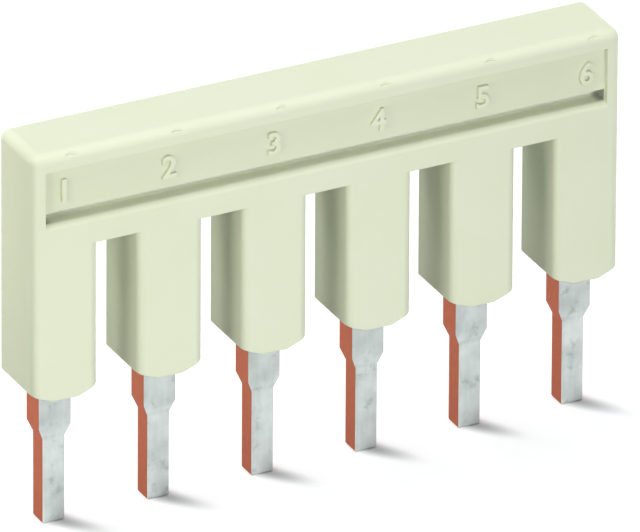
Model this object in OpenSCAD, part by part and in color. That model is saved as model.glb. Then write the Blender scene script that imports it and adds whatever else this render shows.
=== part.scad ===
// Jumper bar for rail-mounted terminal blocks: a stamped contact comb in a moulded insulating housing.
// Millimetres. X runs along the bar, the front faces -Y, and Z = 0 is the plane of the pin tips.

/* [Poles] */
// Number of poles, each with one tooth and one pin
poles = 6; // [2:1:12]
// Distance from one pole to the next
pitch = 5; // [4:0.1:8]

/* [Housing] */
// Depth of the bar and the teeth from front to back
housing_depth = 3.4; // [2.8:0.05:5]
// Height of the bar above the teeth
bar_height = 4.65; // [4:0.05:7]
// Width of one tooth
tooth_width = 3.1; // [2.4:0.05:3.6]
// Length of a tooth below the bar
tooth_drop = 7.2; // [4:0.1:12]
// Width of the slope on each side of a tooth's foot
foot_slope_width = 0.95; // [0.2:0.05:1.2]
// Height of the slope on each side of a tooth's foot
foot_slope_height = 0.38; // [0.1:0.02:1]
// Radius of the upright edges
edge_round = 0.36; // [0.1:0.02:0.8]
// Radius of the edges around the top
top_round = 0.48; // [0.1:0.02:1]

/* [Front panel and groove] */
// Distance from the top down to the recessed panel
panel_top = 0.87; // [0.6:0.01:1.2]
// Border left at each end of the panel
panel_side = 0.62; // [0.45:0.01:1.5]
// Height of the panel down to the groove
panel_height = 2.04; // [1:0.02:2.4]
// Depth of the panel behind the front
panel_depth = 0.28; // [0.1:0.02:0.5]
// Height of the groove under the panel
groove_height = 0.5; // [0.3:0.05:0.7]
// Depth of the groove behind the front
groove_depth = 0.84; // [0.55:0.01:0.9]
// Radius of the lip under the groove
groove_lip = 0.3; // [0.05:0.05:0.4]

/* [Pole notches] */
// Radius of the notch that marks a pole on the top edge
notch_radius = 0.55; // [0.15:0.01:0.8]
// Depth of a notch's floor below the top
notch_depth = 0.25; // [0.2:0.01:0.5]
// Reach of a notch behind the front
notch_reach = 0.18; // [0.08:0.01:0.3]
// Distance of a notch to the right of its pole
notch_shift = 0.28; // [0:0.01:1]

/* [Contact comb] */
// Thickness of the comb's sheet
comb_thickness = 1.25; // [1:0.05:1.6]
// Width of a pin above its neck
pin_width = 1.52; // [1.1:0.02:1.9]
// Length of a pin below its tooth
pin_reach = 6.5; // [5:0.1:10]
// Width of a pin's coined end
tip_width = 1.04; // [0.6:0.02:1.2]
// Thickness of a pin's coined end
tip_thickness = 0.98; // [0.6:0.01:1.2]
// Length of a pin's coined end
tip_length = 4.1; // [2:0.1:5]
// Length of the taper between a pin and its coined end
neck_length = 0.58; // [0.2:0.02:1]
// Height of the web that joins the pins inside the bar
web_height = 2.6; // [1:0.1:3.4]
// Thickness of the bar's wall above the web
web_cover = 0.95; // [0.6:0.05:1.4]

/* [Hidden] */

$fn = 64;
// Reach of a cut past the face that it opens
cut_margin = 1;
// Flat left beside a fillet when its wall limits it
fillet_land = 0.05;
housing_color = [0.86, 0.88, 0.78];
comb_color = [0.72, 0.44, 0.33];

pole_x = [for (i = [0 : poles - 1]) (i - (poles - 1) / 2) * pitch];
housing_length = (poles - 1) * pitch + tooth_width;
web_length = (poles - 1) * pitch + pin_width;

tooth_bottom = pin_reach;
bar_bottom = tooth_bottom + tooth_drop;
bar_top = bar_bottom + bar_height;
front = -housing_depth / 2;

panel_ceiling = bar_top - panel_top;
groove_ceiling = panel_ceiling - panel_height;
groove_floor = groove_ceiling - groove_height;
recess_length = housing_length - 2 * panel_side;

web_top = bar_top - web_cover;
web_bottom = web_top - web_height;
neck_top = tip_length + neck_length;

// Fillets never pass half of the wall that they round
upright_r = min(edge_round, tooth_width / 2 - fillet_land, housing_depth / 2 - fillet_land);
crown_r = min(top_round, housing_depth / 2 - fillet_land, panel_top - fillet_land);

insulating_housing();
contact_comb();

// One moulded piece, shrunk on the comb: its inside is the comb's own form
module insulating_housing() {
    color(housing_color)
    difference() {
        housing_form();
        along_x(recess_length) recess_profile();
        for (x = pole_x) pole_notch(x);
        comb_form();
    }
}

// One stamped piece: pins and web in a single sheet
module contact_comb() {
    color(comb_color) comb_form();
}

// Bar and teeth under one front-to-back profile, so that their faces run flush
module housing_form() {
    intersection() {
        along_x(housing_length) crowned_profile(housing_depth, tooth_bottom, bar_top, crown_r);
        union() {
            bar_form();
            for (x = pole_x) translate([x, 0, 0]) tooth_form();
        }
    }
}

module bar_form() {
    intersection() {
        translate([0, 0, bar_bottom])
        linear_extrude(bar_height) rounded_plan(housing_length);
        along_y(housing_depth) crowned_profile(housing_length, bar_bottom, bar_top, crown_r);
    }
}

// The tooth's root runs up into the bar as far as the groove's floor
module tooth_form() {
    intersection() {
        translate([0, 0, tooth_bottom])
        linear_extrude(groove_floor - tooth_bottom) rounded_plan(tooth_width);
        along_y(housing_depth) tooth_outline();
    }
}

// Outline of a tooth from the front, with a slope on each side of its foot
module tooth_outline() {
    side = tooth_width / 2;
    foot = side - foot_slope_width;
    polygon([
        [-foot, tooth_bottom],
        [foot, tooth_bottom],
        [side, tooth_bottom + foot_slope_height],
        [side, groove_floor],
        [-side, groove_floor],
        [-side, tooth_bottom + foot_slope_height]
    ]);
}

// Section of the panel, the groove and the rounded lip below it, as cut from the front
module recess_profile() {
    translate([front - cut_margin, groove_ceiling])
    square([cut_margin + panel_depth, panel_height]);
    translate([front - cut_margin, groove_floor])
    square([cut_margin + groove_depth, groove_height]);
    difference() {
        translate([front - cut_margin, groove_floor - groove_lip])
        square([cut_margin + groove_lip, groove_lip]);
        translate([front + groove_lip, groove_floor - groove_lip])
        circle(r = groove_lip);
    }
}

module pole_notch(x) {
    translate([x + notch_shift, front + notch_reach - notch_radius, bar_top - notch_depth])
    cylinder(r = notch_radius, h = notch_depth + cut_margin);
}

// Blanked outline of the comb through its sheet, then coined to the side profile
module comb_form() {
    intersection() {
        along_y(comb_thickness) comb_outline();
        along_x(web_length) coined_profile();
    }
}

module comb_outline() {
    translate([-web_length / 2, web_bottom]) square([web_length, web_height]);
    for (x = pole_x) translate([x, 0]) tapered_outline(tip_width / 2, pin_width / 2);
}

module coined_profile() {
    tapered_outline(tip_thickness / 2, comb_thickness / 2);
}

// A straight end, a neck and a wider shank that runs up to the web's top
module tapered_outline(half_tip, half_shank) {
    polygon([
        [-half_tip, 0],
        [half_tip, 0],
        [half_tip, tip_length],
        [half_shank, neck_top],
        [half_shank, web_top],
        [-half_shank, web_top],
        [-half_shank, neck_top],
        [-half_tip, tip_length]
    ]);
}

// Rectangle seen from above with four rounded corners
module rounded_plan(width) {
    square([width - 2 * upright_r, housing_depth], center = true);
    square([width, housing_depth - 2 * upright_r], center = true);
    for (sx = [-1, 1], sy = [-1, 1])
        translate([sx * (width / 2 - upright_r), sy * (housing_depth / 2 - upright_r)])
        circle(r = upright_r);
}

// Upright rectangle with its two upper corners rounded
module crowned_profile(width, low, high, r) {
    translate([-width / 2, low]) square([width, high - low - r]);
    translate([-width / 2 + r, low]) square([width - 2 * r, high - low]);
    for (s = [-1, 1]) translate([s * (width / 2 - r), high - r]) circle(r = r);
}

// Draws a front-to-back section along the bar
module along_x(length) {
    rotate([90, 0, 90])
    translate([0, 0, -length / 2])
    linear_extrude(length) children();
}

// Draws a front outline through the bar's depth
module along_y(depth) {
    rotate([90, 0, 0])
    translate([0, 0, -depth / 2])
    linear_extrude(depth) children();
}
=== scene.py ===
"""Looks of a six-pole jumper bar for rail terminal blocks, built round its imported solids."""
import math

import bmesh
import bpy
from mathutils import Matrix, Vector


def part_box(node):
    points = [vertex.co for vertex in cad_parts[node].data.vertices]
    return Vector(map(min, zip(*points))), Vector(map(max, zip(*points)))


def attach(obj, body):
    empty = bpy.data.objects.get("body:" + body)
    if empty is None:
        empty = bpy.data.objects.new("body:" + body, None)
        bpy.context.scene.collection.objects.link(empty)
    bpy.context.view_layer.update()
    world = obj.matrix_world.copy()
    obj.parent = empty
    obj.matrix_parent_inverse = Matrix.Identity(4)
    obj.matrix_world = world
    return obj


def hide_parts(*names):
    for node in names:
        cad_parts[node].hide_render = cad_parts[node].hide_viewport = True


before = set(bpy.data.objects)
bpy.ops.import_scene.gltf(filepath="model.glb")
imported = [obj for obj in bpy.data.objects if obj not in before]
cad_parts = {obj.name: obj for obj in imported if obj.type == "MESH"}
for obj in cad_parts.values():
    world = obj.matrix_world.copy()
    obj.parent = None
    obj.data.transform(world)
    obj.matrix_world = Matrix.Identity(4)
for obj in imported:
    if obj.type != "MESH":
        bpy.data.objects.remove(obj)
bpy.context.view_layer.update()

# Scene units are metres and the sizes below are millimetres
MM = 0.001
POLES = 6
PITCH = 5.0

# Housing: outer sizes come from the frame, the rest repeats the moulding's own dimensions
HOUSING_LOW, HOUSING_HIGH = (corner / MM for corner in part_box("insulating_housing"))
COMB_LOW, COMB_HIGH = (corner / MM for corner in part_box("contact_comb"))
HOUSING_LENGTH = HOUSING_HIGH.x - HOUSING_LOW.x
HALF_DEPTH = HOUSING_HIGH.y
FRONT = HOUSING_LOW.y
BAR_TOP = HOUSING_HIGH.z
TOOTH_BOTTOM = HOUSING_LOW.z
TOOTH_WIDTH = HOUSING_LENGTH - (POLES - 1) * PITCH
BAR_HEIGHT = 4.65
BAR_BOTTOM = BAR_TOP - BAR_HEIGHT
FOOT_SLOPE_WIDTH = 0.95
FOOT_SLOPE_HEIGHT = 0.38
UPRIGHT_ROUND = 0.36
CROWN_ROUND = 0.48
# Share of a corner's upright round that is gone where the crown ends
CROWN_TAPER = 0.9
EDGE_BREAK = 0.05

# Front panel and groove
PANEL_TOP = 0.87
PANEL_HEIGHT = 2.04
PANEL_SIDE = 0.62
PANEL_DEPTH = 0.28
GROOVE_HEIGHT = 0.5
GROOVE_DEPTH = 0.84
GROOVE_LIP = 0.3
PANEL_CEILING = BAR_TOP - PANEL_TOP
PANEL_FACE = FRONT + PANEL_DEPTH
GROOVE_CEILING = PANEL_CEILING - PANEL_HEIGHT
GROOVE_FLOOR = GROOVE_CEILING - GROOVE_HEIGHT
GROOVE_BACK = FRONT + GROOVE_DEPTH
RECESS_HALF = HOUSING_LENGTH / 2 - PANEL_SIDE
RIM_ROUND = 0.06
PANEL_FILLET = 0.07
# The panel's fillet is this many times smaller at its two ends
END_FILLET_RATIO = 3
STEP_ROUND = 0.05
# The step into the groove starts this share of its round behind the panel
STEP_SET_BACK = 0.05

# Pole notches on the top edge
NOTCH_RADIUS = 0.55
NOTCH_DEPTH = 0.25
NOTCH_FLOOR = BAR_TOP - NOTCH_DEPTH
NOTCH_REACH = 0.18
NOTCH_SHIFT = 0.28
NOTCH_DRAFT = 0.03

# Plain pole numbers in the place of the panel's lettering
NUMERAL_HEIGHT = 1.06
NUMERAL_RELIEF = 0.16
NUMERAL_ROUND = 0.03
NUMERAL_ROUND_STEPS = 3
# Height of a digit in Blender's own font at size 1
FONT_HEIGHT = 0.729
WELD_DISTANCE = 0.001

# Contact comb
SHEET = COMB_HIGH.y - COMB_LOW.y
PIN_WIDTH = COMB_HIGH.x - COMB_LOW.x - (POLES - 1) * PITCH
TIP_WIDTH = 1.04
TIP_THICKNESS = 0.98
TIP_LENGTH = 4.1
NECK_LENGTH = 0.58
NECK_TOP = TIP_LENGTH + NECK_LENGTH
WEB_HEIGHT = 2.6
WEB_BOTTOM = COMB_HIGH.z - WEB_HEIGHT
PIN_EDGE = 0.045
TIP_ROUND = 0.12

# Steps of the rounds, reach of a cutter past a face, and the angles over which edges stay sharp
ARC_STEPS = 10
FINE_STEPS = 3
FILLET_STEPS = 5
RIM_STEPS = 6
NOTCH_STEPS = 40
CUT_MARGIN = 1.0
HOUSING_SHARP = 35
COMB_SHARP = 40

POLE_X = [(i - (POLES - 1) / 2) * PITCH for i in range(POLES)]


def arc(start, end, steps=ARC_STEPS):
    """Angles in radians from start to end degrees."""
    return [math.radians(start + (end - start) * i / steps) for i in range(steps + 1)]


def rounded_ring(half_x, half_y, radius, steps=ARC_STEPS, breaks=()):
    """Plan of a rounded rectangle: along its front, then along its back, with points at the breaks."""
    centre_x, centre_y = half_x - radius, half_y - radius

    def corner(sx, sy, start):
        return [(sx * centre_x + radius * math.cos(a), sy * centre_y + radius * math.sin(a))
                for a in arc(start, start + 90, steps)]

    front = corner(-1, -1, 180) + [(x, -half_y) for x in breaks] + corner(1, -1, 270)
    back = corner(1, 1, 0) + [(x, half_y) for x in reversed(breaks)] + corner(-1, 1, 90)
    return front + back


def loft(bm, rings):
    """Quads between rings that have the same number of points; returns the rings' vertices."""
    rows = [[bm.verts.new(point) for point in ring] for ring in rings]
    for low, high in zip(rows, rows[1:]):
        count = len(low)
        for i in range(count):
            j = (i + 1) % count
            bm.faces.new((low[i], low[j], high[j], high[i]))
    return rows


def closed_loft(bm, rings):
    """A loft with a flat face on its first and last ring."""
    rows = loft(bm, rings)
    bm.faces.new(rows[0])
    bm.faces.new(rows[-1])


def cap_in_strips(bm, row):
    """Closes a ring whose front and back points lie opposite each other with strips between them."""
    half = len(row) // 2
    front, back = row[:half], list(reversed(row[half:]))
    for i in range(half - 1):
        bm.faces.new((front[i], back[i], back[i + 1], front[i + 1]))


def mesh_object(bm, name):
    """A scene object from a mesh in millimetres."""
    bmesh.ops.recalc_face_normals(bm, faces=bm.faces)
    bmesh.ops.scale(bm, vec=(MM, MM, MM), verts=bm.verts)
    mesh = bpy.data.meshes.new(name)
    bm.to_mesh(mesh)
    bm.free()
    made = bpy.data.objects.new(name, mesh)
    bpy.context.scene.collection.objects.link(made)
    return made


def boolean(target, tool, operation):
    """Applies one exact boolean to the target and removes the tool."""
    modifier = target.modifiers.new(operation, "BOOLEAN")
    modifier.operation = operation
    modifier.solver = "EXACT"
    modifier.object = tool
    graph = bpy.context.evaluated_depsgraph_get()
    result = bpy.data.meshes.new_from_object(target.evaluated_get(graph))
    target.modifiers.clear()
    old = target.data
    target.data = result
    bpy.data.meshes.remove(old)
    bpy.data.objects.remove(tool)


def join(target, other):
    """Adds another object's mesh to the target's and removes the other."""
    bm = bmesh.new()
    bm.from_mesh(target.data)
    bm.from_mesh(other.data)
    bm.to_mesh(target.data)
    bm.free()
    bpy.data.objects.remove(other)


def smooth(made, angle):
    """Smooth shading that keeps flat faces flat and edges over the angle sharp."""
    made.data.shade_smooth()
    made.data.set_sharp_from_angle(angle=math.radians(angle))
    modifier = made.modifiers.new("flat_faces", "WEIGHTED_NORMAL")
    modifier.keep_sharp = True


def bar_levels():
    """Inset, height and full round of each ring of the bar, from its broken lower edge to its crown."""
    lower = [(EDGE_BREAK * (1 - math.sin(a)), BAR_BOTTOM + EDGE_BREAK * (1 - math.cos(a)), EDGE_BREAK)
             for a in arc(0, 90, FINE_STEPS)]
    crown = [(CROWN_ROUND * (1 - math.cos(a)), BAR_TOP - CROWN_ROUND * (1 - math.sin(a)), CROWN_ROUND)
             for a in arc(0, 90)]
    return lower + crown


def bar_object():
    """The bar: rounded corners, a rounded crown and a broken lower edge."""
    rings = []
    for inset, z, full in bar_levels():
        radius = UPRIGHT_ROUND * (1 - CROWN_TAPER * inset / max(full, UPRIGHT_ROUND))
        ring = rounded_ring(HOUSING_LENGTH / 2 - inset, HALF_DEPTH - inset, radius)
        rings.append([(x, y, z) for x, y in ring])
    bm = bmesh.new()
    closed_loft(bm, rings)
    return mesh_object(bm, "bar")


def foot_height(x):
    """Height of a tooth's underside at a distance from its middle."""
    flat = TOOTH_WIDTH / 2 - FOOT_SLOPE_WIDTH
    return TOOTH_BOTTOM + FOOT_SLOPE_HEIGHT * max(0, abs(x) - flat) / FOOT_SLOPE_WIDTH


def tooth_ring(inset):
    """Plan of a tooth, drawn in by the inset, with points where its foot starts to slope."""
    half_x = TOOTH_WIDTH / 2
    flat = half_x - FOOT_SLOPE_WIDTH
    return rounded_ring(half_x - inset, HALF_DEPTH - inset, UPRIGHT_ROUND - inset, breaks=(-flat, flat))


def teeth_object():
    """All teeth in one mesh, each with rounded upright edges, a sloped foot and a root inside the bar."""
    bm = bmesh.new()
    for pole in POLE_X:
        rings = []
        for a in arc(0, 90, FINE_STEPS):
            lift = EDGE_BREAK * (1 - math.cos(a))
            ring = tooth_ring(EDGE_BREAK * (1 - math.sin(a)))
            rings.append([(pole + x, y, foot_height(x) + lift) for x, y in ring])
        rings.append([(pole + x, y, GROOVE_FLOOR - GROOVE_LIP) for x, y in tooth_ring(0)])
        rows = loft(bm, rings)
        cap_in_strips(bm, rows[0])
        cap_in_strips(bm, rows[-1])
    return mesh_object(bm, "teeth")


def rim_flare(depth, radius):
    """How far a rounded rim of this radius opens at a depth behind the front."""
    left = min(max(radius - depth, 0), radius)
    return radius - math.sqrt(radius ** 2 - left ** 2)


def recess_outline():
    """Depth behind the front, half length and ceiling of the recess from the front inwards."""
    rims = {radius * (1 - math.cos(a)) for radius in (RIM_ROUND, GROOVE_LIP) for a in arc(0, 90, RIM_STEPS)}
    outline = []
    for depth in [-CUT_MARGIN] + sorted(d for d in rims if d < PANEL_DEPTH - PANEL_FILLET):
        opened = rim_flare(depth, RIM_ROUND)
        outline.append((depth, RECESS_HALF + opened, PANEL_CEILING + opened))
    for a in arc(0, 90, FILLET_STEPS):
        depth = PANEL_DEPTH - PANEL_FILLET * (1 - math.sin(a))
        inset = PANEL_FILLET * (1 - math.cos(a))
        outline.append((depth, RECESS_HALF - inset / END_FILLET_RATIO, PANEL_CEILING - inset))
    inner_half = RECESS_HALF - PANEL_FILLET / END_FILLET_RATIO
    for a in arc(0, 90, FILLET_STEPS):
        depth = PANEL_DEPTH + STEP_ROUND * (1 + STEP_SET_BACK - math.cos(a))
        outline.append((depth, inner_half, GROOVE_CEILING + STEP_ROUND * (1 - math.sin(a))))
    outline.append((GROOVE_DEPTH, inner_half, GROOVE_CEILING))
    return outline


def recess_tool():
    """Cutter of the panel and the groove, with rounded rims and the rounded lip under the groove."""
    rings = []
    for depth, half, ceiling in recess_outline():
        floor = GROOVE_FLOOR - rim_flare(depth, GROOVE_LIP)
        corners = ((-half, floor), (half, floor), (half, ceiling), (-half, ceiling))
        rings.append([(x, FRONT + depth, z) for x, z in corners])
    bm = bmesh.new()
    closed_loft(bm, rings)
    return mesh_object(bm, "recess_tool")


def notch_ring(pole, radius, z):
    """Circle of a pole's notch at a height."""
    x, y = pole + NOTCH_SHIFT, FRONT + NOTCH_REACH - NOTCH_RADIUS
    turns = arc(0, 360, NOTCH_STEPS)[:-1]
    return [(x + radius * math.cos(a), y + radius * math.sin(a), z) for a in turns]


def notch_tool():
    """Cutters of the small notches that mark the poles on the top edge."""
    levels = ((NOTCH_RADIUS - NOTCH_DRAFT, NOTCH_FLOOR), (NOTCH_RADIUS, BAR_TOP),
              (NOTCH_RADIUS, BAR_TOP + CUT_MARGIN))
    bm = bmesh.new()
    for pole in POLE_X:
        closed_loft(bm, [notch_ring(pole, radius, z) for radius, z in levels])
    return mesh_object(bm, "notch_tool")


def numeral_mesh(number, pole):
    """One raised number that stands on the panel in front of its pole, as a mesh in millimetres."""
    curve = bpy.data.curves.new("numeral", "FONT")
    curve.body = str(number)
    curve.align_x = "CENTER"
    curve.size = NUMERAL_HEIGHT / FONT_HEIGHT
    curve.extrude = NUMERAL_RELIEF - NUMERAL_ROUND
    curve.bevel_depth = NUMERAL_ROUND
    curve.bevel_resolution = NUMERAL_ROUND_STEPS
    text = bpy.data.objects.new("numeral", curve)
    bpy.context.scene.collection.objects.link(text)
    graph = bpy.context.evaluated_depsgraph_get()
    mesh = bpy.data.meshes.new_from_object(text.evaluated_get(graph))
    foot = PANEL_CEILING - (PANEL_HEIGHT + NUMERAL_HEIGHT) / 2
    upright = Matrix.Rotation(math.pi / 2, 4, "X")
    mesh.transform(Matrix.Translation((pole, PANEL_FACE, foot)) @ upright)
    bpy.data.objects.remove(text)
    bpy.data.curves.remove(curve)
    return mesh


def numerals_object():
    """Plain raised pole numbers on the panel, in one mesh."""
    whole = bmesh.new()
    for number, pole in enumerate(POLE_X, 1):
        mesh = numeral_mesh(number, pole)
        whole.from_mesh(mesh)
        bpy.data.meshes.remove(mesh)
    bmesh.ops.remove_doubles(whole, verts=whole.verts, dist=WELD_DISTANCE)
    return mesh_object(whole, "numerals")


def housing_piece():
    """The moulded housing as one mesh."""
    housing = bar_object()
    housing.name = "housing_moulding"
    boolean(housing, teeth_object(), "UNION")
    boolean(housing, recess_tool(), "DIFFERENCE")
    boolean(housing, notch_tool(), "DIFFERENCE")
    join(housing, numerals_object())
    smooth(housing, HOUSING_SHARP)
    return housing


def pin_sections():
    """Height, half width and half thickness of a pin from its rounded tip up."""
    tip, shank = (TIP_WIDTH / 2, TIP_THICKNESS / 2), (PIN_WIDTH / 2, SHEET / 2)
    sections = []
    for a in arc(0, 90, FILLET_STEPS):
        inset = TIP_ROUND * (1 - math.sin(a))
        sections.append((TIP_ROUND * (1 - math.cos(a)), tip[0] - inset, tip[1] - inset))
    sections += [(TIP_LENGTH, *tip), (NECK_TOP, *shank), (WEB_BOTTOM + WEB_HEIGHT / 2, *shank)]
    return sections


def pins_object():
    """All pins in one mesh, each with broken edges and a root inside the web."""
    bm = bmesh.new()
    for pole in POLE_X:
        rings = []
        for z, half_x, half_y in pin_sections():
            ring = rounded_ring(half_x, half_y, PIN_EDGE, steps=FINE_STEPS)
            rings.append([(pole + x, y, z) for x, y in ring])
        closed_loft(bm, rings)
    return mesh_object(bm, "contact_pins")


def web_object():
    """The web that joins the pins inside the bar."""
    plan = ((COMB_LOW.x, COMB_LOW.y), (COMB_HIGH.x, COMB_LOW.y),
            (COMB_HIGH.x, COMB_HIGH.y), (COMB_LOW.x, COMB_HIGH.y))
    bm = bmesh.new()
    closed_loft(bm, [[(x, y, z) for x, y in plan] for z in (WEB_BOTTOM, COMB_HIGH.z)])
    return mesh_object(bm, "web")


def comb_piece():
    """The stamped comb as one mesh: coined pins on a web that the housing hides."""
    comb = pins_object()
    boolean(comb, web_object(), "UNION")
    smooth(comb, COMB_SHARP)
    return comb


def add_node(tree, kind, **values):
    """A node with its named inputs and settings set."""
    node = tree.nodes.new(kind)
    for name, value in values.items():
        socket = node.inputs.get(name.replace("_", " "))
        if socket is not None:
            socket.default_value = value
        else:
            setattr(node, name, value)
    return node


def calculate(tree, operation, *terms):
    """Result of a Math node from links and plain numbers."""
    node = add_node(tree, "ShaderNodeMath", operation=operation)
    for socket, term in zip(node.inputs, terms):
        if isinstance(term, (int, float)):
            socket.default_value = term
        else:
            tree.links.new(term, socket)
    return node.outputs["Value"]


def remap(tree, value, **values):
    """A value passed through a Map Range node."""
    node = add_node(tree, "ShaderNodeMapRange", **values)
    tree.links.new(value, node.inputs["Value"])
    return node.outputs["Result"]


def split_axes(tree, vector):
    """The X, Y and Z outputs of a vector."""
    node = tree.nodes.new("ShaderNodeSeparateXYZ")
    tree.links.new(vector, node.inputs["Vector"])
    return node.outputs


def stretched(tree, place, scale):
    """A place scaled along its axes."""
    node = add_node(tree, "ShaderNodeMapping", Scale=scale)
    tree.links.new(place, node.inputs["Vector"])
    return node.outputs["Vector"]


def noise(tree, place, scale, detail, roughness):
    """Value of a noise texture at a place."""
    node = add_node(tree, "ShaderNodeTexNoise", Scale=scale, Detail=detail, Roughness=roughness)
    tree.links.new(place, node.inputs["Vector"])
    return node.outputs["Fac"]


def ramp(tree, value, *stops):
    """Colour that runs between two stops, each a position and a colour."""
    node = tree.nodes.new("ShaderNodeValToRGB")
    for element, (position, colour) in zip(node.color_ramp.elements, stops):
        element.position = position
        element.color = colour
    tree.links.new(value, node.inputs["Fac"])
    return node.outputs["Color"]


def mixed(tree, share, first, second, blend_type="MIX"):
    """Mix of two colours by a share; each colour is a link or a plain colour."""
    node = add_node(tree, "ShaderNodeMix", data_type="RGBA", blend_type=blend_type)
    tree.links.new(share, node.inputs["Factor"])
    for name, colour in (("A", first), ("B", second)):
        if isinstance(colour, tuple):
            node.inputs[name].default_value = colour
        else:
            tree.links.new(colour, node.inputs[name])
    return node.outputs["Result"]


def new_material(name):
    """A material with an empty node tree and its output node."""
    material = bpy.data.materials.new(name)
    material.use_nodes = True
    tree = material.node_tree
    tree.nodes.clear()
    return material, tree, tree.nodes.new("ShaderNodeOutputMaterial")


def finish_surface(tree, output, colour, roughness, height, strength, **values):
    """Joins colour, roughness and a fine bump to the shader, and the shader to the output."""
    relief = add_node(tree, "ShaderNodeBump", Strength=strength, Distance=GRAIN_DEPTH * MM)
    tree.links.new(height, relief.inputs["Height"])
    shader = add_node(tree, "ShaderNodeBsdfPrincipled", **values)
    tree.links.new(colour, shader.inputs["Base Color"])
    tree.links.new(roughness, shader.inputs["Roughness"])
    tree.links.new(relief.outputs["Normal"], shader.inputs["Normal"])
    tree.links.new(shader.outputs["BSDF"], output.inputs["Surface"])


# Depth of the fine grain on both materials
GRAIN_DEPTH = 0.02

# Plastic: stops of its mottled colour, its range of roughness and the strength of its grain
PLASTIC_STOPS = (0.3, (0.662, 0.716, 0.543, 1)), (0.7, (0.680, 0.731, 0.569, 1))
PLASTIC_ROUGHNESS = 0.58, 0.68
PLASTIC_GRAIN = 0.08
PLASTIC_IOR = 1.5

# Painted shade in the recess: the panel's colour is a little darker as painted shade under the frame above
# it, the groove's walls get a greyer painted shade tone, and the groove's ends a dark painted shadow
PANEL_SHADE_TONE = (0.945, 0.945, 0.93, 1)
GROOVE_SHADE_TONE = (0.94, 0.89, 0.97, 1)
GROOVE_END_SHADOW_TONE = (0.55, 0.55, 0.55, 1)
# Reach of each painted shade past its own face, and of the panel's painted shade up its walls and numbers
SHADE_MARGIN = 0.02
PANEL_SHADE_RISE = 0.13
# The painted shade on the groove's walls keeps this far above the groove's floor
WALL_CLEARANCE = 0.01
# Distances from the groove's ends where the painted shadow starts and where it is full
END_SHADOW_START = 0.5
END_SHADOW_FULL = 0.1


def within(tree, coordinate, low, high):
    """1 where a coordinate lies between two sizes, and 0 outside."""
    return calculate(tree, "COMPARE", coordinate, (low + high) / 2 * MM, (high - low) / 2 * MM)


def band(tree, axes, y_low, y_high, z_low, z_high):
    """1 in the part of the recess between two depths and two heights, and 0 outside."""
    end = RECESS_HALF + SHADE_MARGIN
    x = within(tree, axes["X"], -end, end)
    y = within(tree, axes["Y"], y_low, y_high)
    z = within(tree, axes["Z"], z_low, z_high)
    return calculate(tree, "MULTIPLY", calculate(tree, "MULTIPLY", x, y), z)


def recess_finish(tree, place, colour):
    """The plastic's colour with painted shade on the panel and the groove's walls, and a dark painted
    shadow at the groove's ends.
    """
    axes = split_axes(tree, place)
    ceiling = GROOVE_CEILING + SHADE_MARGIN
    inside = PANEL_FACE + SHADE_MARGIN, GROOVE_BACK + SHADE_MARGIN
    panel = band(tree, axes, PANEL_FACE - PANEL_SHADE_RISE, PANEL_FACE + SHADE_MARGIN,
                 GROOVE_CEILING, PANEL_CEILING)
    wall = band(tree, axes, *inside, GROOVE_FLOOR + WALL_CLEARANCE, ceiling)
    groove = band(tree, axes, *inside, GROOVE_FLOOR - SHADE_MARGIN, ceiling)
    # Dark painted shadow near both ends of the groove
    near_end = remap(tree, calculate(tree, "ABSOLUTE", axes["X"]), interpolation_type="SMOOTHSTEP",
                     From_Min=(RECESS_HALF - END_SHADOW_START) * MM, From_Max=(RECESS_HALF - END_SHADOW_FULL) * MM)
    end_shadow = calculate(tree, "MULTIPLY", groove, near_end)
    # Painted shade on the panel and the groove's walls, and painted shadow at the groove's ends
    for share, tone in ((panel, PANEL_SHADE_TONE), (wall, GROOVE_SHADE_TONE), (end_shadow, GROOVE_END_SHADOW_TONE)):
        colour = mixed(tree, share, colour, tone, "MULTIPLY")
    return colour


def moulded_plastic():
    """Satin polyamide with a fine spark-eroded grain, faint flow mottling and painted shade in its front
    recess.
    """
    material, tree, output = new_material("moulded_plastic")
    place = tree.nodes.new("ShaderNodeTexCoord").outputs["Object"]
    mottle = noise(tree, place, scale=350.0, detail=3.0, roughness=0.5)
    grain = noise(tree, place, scale=14000.0, detail=2.0, roughness=0.6)
    colour = recess_finish(tree, place, ramp(tree, mottle, *PLASTIC_STOPS))
    least, most = PLASTIC_ROUGHNESS
    gloss = remap(tree, grain, To_Min=least, To_Max=most)
    finish_surface(tree, output, colour, gloss, grain, PLASTIC_GRAIN, IOR=PLASTIC_IOR)
    return material


# Metal: stops of its two colours, its range of roughness and the strength of its shear marks
TIN_STOPS = (0.46, (0.49, 0.53, 0.513, 1)), (0.86, (0.64, 0.685, 0.668, 1))
COPPER_STOPS = (0.3, (0.375, 0.112, 0.064, 1)), (0.7, (0.445, 0.140, 0.084, 1))
METAL_ROUGHNESS = 0.34, 0.46
METAL_GRAIN = 0.12
METAL_EDGE_TINT = (0.81, 0.62, 0.57, 1)
# A face counts as plated once its normal turns this far to the front or the back
PLATED_FROM, PLATED_FULL = 0.30, 0.45
# Rolling marks run up the pins and shear marks across the sheet's thickness
ROLLING_STRETCH = (1.0, 1.0, 0.12)
SHEAR_STRETCH = (1.0, 6.0, 1.0)
ROLLING_SHARE = 0.35
# Painted shade in the crease where the neck leaves the coined end: height above it, reach and depth of tone
CREASE_RISE = 0.08
CREASE_REACH = 0.2
CREASE_TONE = 0.14
# The tin is painted darker on the shank towards the housing, as shade under it
SHANK_SHADE_TONE = (0.88, 0.88, 0.88, 1)
SHANK_FADE = 0.4
# Tarnish: soft smudges where their noise passes a level
SMUDGE_TONE = (0.73, 0.745, 0.745, 1)
SMUDGE_FROM, SMUDGE_FULL = 0.54, 0.72


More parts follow.
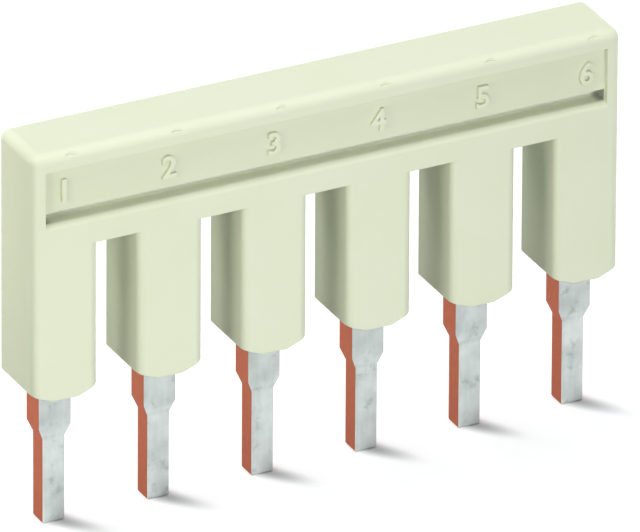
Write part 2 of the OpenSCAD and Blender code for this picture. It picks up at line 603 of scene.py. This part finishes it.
def tin_colour(tree, place, blotch):
    """Blotched, rolled tin with painted shade in the crease at the neck and on the shank under the housing,
    and tarnish smudges.
    """
    height = split_axes(tree, place)["Z"]
    rolled = noise(tree, stretched(tree, place, ROLLING_STRETCH), scale=5200.0, detail=2.0, roughness=0.5)
    # Painted shade in the crease at the neck
    from_crease = calculate(tree, "SUBTRACT", height, (TIP_LENGTH + CREASE_RISE) * MM)
    crease = remap(tree, calculate(tree, "ABSOLUTE", from_crease), interpolation_type="SMOOTHSTEP",
                   From_Max=CREASE_REACH * MM, To_Min=CREASE_TONE, To_Max=0.0)
    worn = calculate(tree, "ADD", blotch, calculate(tree, "MULTIPLY", rolled, ROLLING_SHARE))
    tin = ramp(tree, calculate(tree, "SUBTRACT", worn, crease), *TIN_STOPS)
    # Painted shade on the shank towards the housing above
    shank = remap(tree, height, interpolation_type="SMOOTHSTEP",
                  From_Min=TIP_LENGTH * MM, From_Max=(NECK_TOP + SHANK_FADE) * MM)
    tin = mixed(tree, shank, tin, SHANK_SHADE_TONE, "MULTIPLY")
    smudge = remap(tree, noise(tree, place, scale=1500.0, detail=4.0, roughness=0.62),
                   interpolation_type="SMOOTHSTEP", From_Min=SMUDGE_FROM, From_Max=SMUDGE_FULL)
    return mixed(tree, smudge, tin, SMUDGE_TONE, "MULTIPLY")


def tinned_copper():
    """Copper sheet: satin tin on its two faces and bare, sheared copper on its cut edges."""
    material, tree, output = new_material("tinned_copper")
    coordinates = tree.nodes.new("ShaderNodeTexCoord")
    place = coordinates.outputs["Object"]
    facing = calculate(tree, "ABSOLUTE", split_axes(tree, coordinates.outputs["Normal"])["Y"])
    plated = remap(tree, facing, From_Min=PLATED_FROM, From_Max=PLATED_FULL)
    blotch = noise(tree, place, scale=900.0, detail=4.0, roughness=0.55)
    streak = noise(tree, stretched(tree, place, SHEAR_STRETCH), scale=2500.0, detail=3.0, roughness=0.6)
    copper = ramp(tree, streak, *COPPER_STOPS)
    colour = mixed(tree, plated, copper, tin_colour(tree, place, blotch))
    least, most = METAL_ROUGHNESS
    gloss = remap(tree, blotch, To_Min=least, To_Max=most)
    finish_surface(tree, output, colour, gloss, streak, METAL_GRAIN,
                   Metallic=1.0, Specular_Tint=METAL_EDGE_TINT)
    return material


def seen_directly(tree):
    """1 for rays that show the stage: from the camera, off gloss or through glass."""
    path = tree.nodes.new("ShaderNodeLightPath")
    either = calculate(tree, "MAXIMUM", path.outputs["Is Camera Ray"], path.outputs["Is Glossy Ray"])
    return calculate(tree, "MAXIMUM", either, path.outputs["Is Transmission Ray"])


# Table: its colour where it is seen, the share of light that it throws back, and the white added
# where it is seen, except along a painted shadow streak beside each pin tip, which darkens the floor there
# in the streak's shape on top of the lamps' shadows
FLOOR_SEEN = (0.50, 0.515, 0.53, 1)
FLOOR_BOUNCE = (0.1, 0.1, 0.1, 1)
FLOOR_LIFT = 0.58
FLOOR_HALF = 3000
# Turn, start, length, width and bluntness of the painted shadow streak beside each pin tip
STREAK_TURN = -54.0
STREAK_START = 0.45
STREAK_LENGTH = 3.1
STREAK_WIDTH = 0.85
STREAK_BLUNTNESS = 4.0


def streak_axes(tree):
    """Place along and across the painted shadow streak of the nearest pin, in lengths and widths of the
    streak.
    """
    turn = math.radians(STREAK_TURN)
    shift = Vector((math.cos(turn), math.sin(turn))) * STREAK_START
    axes = split_axes(tree, tree.nodes.new("ShaderNodeTexCoord").outputs["Object"])
    x = calculate(tree, "SUBTRACT", axes["X"], (POLE_X[0] + shift.x) * MM)
    nearest = calculate(tree, "ROUND", calculate(tree, "DIVIDE", x, PITCH * MM))
    nearest = calculate(tree, "MINIMUM", calculate(tree, "MAXIMUM", nearest, 0), POLES - 1)
    from_pin = calculate(tree, "SUBTRACT", x, calculate(tree, "MULTIPLY", nearest, PITCH * MM))
    local = tree.nodes.new("ShaderNodeCombineXYZ")
    tree.links.new(from_pin, local.inputs["X"])
    tree.links.new(calculate(tree, "SUBTRACT", axes["Y"], shift.y * MM), local.inputs["Y"])
    streak = add_node(tree, "ShaderNodeMapping", vector_type="TEXTURE", Rotation=(0, 0, turn),
                      Scale=(STREAK_LENGTH * MM, STREAK_WIDTH * MM, 1))
    tree.links.new(local.outputs["Vector"], streak.inputs["Vector"])
    return split_axes(tree, streak.outputs["Vector"])


def beside_tips(tree):
    """0 along the painted shadow streak beside each pin tip, and 1 away from the tips."""
    axes = streak_axes(tree)
    along, across = axes["X"], axes["Y"]
    ahead = calculate(tree, "MAXIMUM", along, calculate(tree, "MULTIPLY", along, -STREAK_BLUNTNESS))
    squares = [calculate(tree, "MULTIPLY", side, side) for side in (ahead, across)]
    reach = calculate(tree, "SQRT", calculate(tree, "ADD", *squares))
    return remap(tree, reach, interpolation_type="SMOOTHSTEP")


def floor_material():
    """White table that keeps the pins' shadows, with painted shadow streaks beside the pin tips, and throws
    back less light than it shows.
    """
    material, tree, output = new_material("studio_floor")
    link = tree.links.new
    seen = seen_directly(tree)
    matte = tree.nodes.new("ShaderNodeBsdfDiffuse")
    link(mixed(tree, seen, FLOOR_BOUNCE, FLOOR_SEEN), matte.inputs["Color"])
    # The glow is left out along the painted shadow streaks
    clear = calculate(tree, "MULTIPLY", seen, beside_tips(tree))
    glow = add_node(tree, "ShaderNodeEmission", Color=(1, 1, 1, 1))
    link(calculate(tree, "MULTIPLY", clear, FLOOR_LIFT), glow.inputs["Strength"])
    both = tree.nodes.new("ShaderNodeAddShader")
    link(matte.outputs["BSDF"], both.inputs[0])
    link(glow.outputs["Emission"], both.inputs[1])
    link(both.outputs["Shader"], output.inputs["Surface"])
    return material


def studio_floor():
    """The table under the pins, wide enough to fill the view."""
    bm = bmesh.new()
    bmesh.ops.create_grid(bm, x_segments=1, y_segments=1, size=FLOOR_HALF)
    floor = mesh_object(bm, "studio_floor")
    floor.data.materials.append(floor_material())


def studio_world():
    """White surroundings that are seen and mirrored, and leave the lighting to the lamps."""
    world = bpy.data.worlds.new("studio")
    world.use_nodes = True
    bpy.context.scene.world = world
    tree = world.node_tree
    background = tree.nodes["Background"]
    background.inputs["Color"].default_value = (1, 1, 1, 1)
    tree.links.new(seen_directly(tree), background.inputs["Strength"])


def direction(azimuth, elevation):
    """Unit vector from the part towards a place round it; azimuth 0 is in front and 90 on the right."""
    a, e = math.radians(azimuth), math.radians(elevation)
    return Vector((math.sin(a) * math.cos(e), -math.cos(a) * math.cos(e), math.sin(e)))


def softbox(name, azimuth, elevation, distance, width, height, level, mirrored=True, colour=(1, 1, 1)):
    """Area lamp aimed at the part, in metres; a white face turned to it renders at about this level."""
    lamp = bpy.data.lights.new(name, "AREA")
    lamp.shape = "RECTANGLE"
    lamp.size = width
    lamp.size_y = height
    lamp.energy = level * math.pi ** 2 * distance ** 2
    lamp.color = colour
    made = bpy.data.objects.new(name, lamp)
    away = direction(azimuth, elevation)
    made.location = away * distance + Vector((0, 0, BAR_TOP / 2 * MM))
    made.rotation_euler = away.to_track_quat("Z", "Y").to_euler()
    made.visible_camera = False
    made.visible_glossy = mirrored
    bpy.context.scene.collection.objects.link(made)


# Distance of the far lamps in metres, and the tints of the two small cards, which throw warm light
# on the left end and on the sides of the teeth
FAR = 0.45
LEFT_CARD_TINT = (1, 0.98, 0.89)
BACK_CARD_TINT = (1, 0.97, 0.89)


def studio_lamps():
    """Large softboxes above, behind and in front, and small cards and fills that metal doesn't mirror."""
    softbox("overhead", azimuth=180, elevation=87, distance=FAR, width=0.44, height=0.44, level=0.77)
    softbox("back_left", azimuth=-145, elevation=62, distance=FAR, width=0.20, height=0.20, level=0.34)
    softbox("front_strip", azimuth=10, elevation=25, distance=FAR, width=0.40, height=0.10, level=0.43)
    softbox("table_card", azimuth=-4, elevation=-8, distance=0.055, width=0.07, height=0.003, level=0.60,
            mirrored=False)
    softbox("left_card", azimuth=-67, elevation=14, distance=0.10, width=0.03, height=0.03, level=0.31,
            mirrored=False, colour=LEFT_CARD_TINT)
    softbox("back_card", azimuth=-118, elevation=12, distance=0.031, width=0.009, height=0.011, level=0.175,
            mirrored=False, colour=BACK_CARD_TINT)
    softbox("back_fill", azimuth=180, elevation=4, distance=FAR, width=0.08, height=0.06, level=0.40,
            mirrored=False)
    softbox("right_fill", azimuth=95, elevation=4, distance=FAR, width=0.20, height=0.06, level=0.40,
            mirrored=False)


# Camera: the photograph's angle through a very long lens; clips are in metres
CAMERA_AZIMUTH = -26.86
CAMERA_ELEVATION = 27.17
CAMERA_ROLL = 0.30
CAMERA_DISTANCE = 975.0
CAMERA_LENS = 1277.5
CAMERA_SENSOR = 36
CAMERA_CLIPS = 0.1, 10
CAMERA_AIM = Vector((0.436, -0.090, 9.228))


def add_camera():
    """The camera on its line of sight to the aim, turned by the small roll."""
    data = bpy.data.cameras.new("camera")
    data.lens = CAMERA_LENS
    data.sensor_width = CAMERA_SENSOR
    data.clip_start, data.clip_end = CAMERA_CLIPS
    camera = bpy.data.objects.new("camera", data)
    back = direction(CAMERA_AZIMUTH, CAMERA_ELEVATION)
    roll = Matrix.Rotation(math.radians(CAMERA_ROLL), 4, "Z")
    turn = back.to_track_quat("Z", "Y").to_matrix().to_4x4() @ roll
    camera.matrix_world = Matrix.Translation((CAMERA_AIM + back * CAMERA_DISTANCE) * MM) @ turn
    bpy.context.scene.collection.objects.link(camera)
    bpy.context.scene.camera = camera


def dress(piece, node, material):
    """Dresses a piece, and lets it stand for its solid."""
    piece.data.materials.clear()
    piece.data.materials.append(material)
    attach(piece, "root")
    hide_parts(node)


add_camera()
dress(housing_piece(), "insulating_housing", moulded_plastic())
dress(comb_piece(), "contact_comb", tinned_copper())

studio_floor()
studio_world()
studio_lamps()
bpy.context.scene.view_settings.view_transform = "Standard"
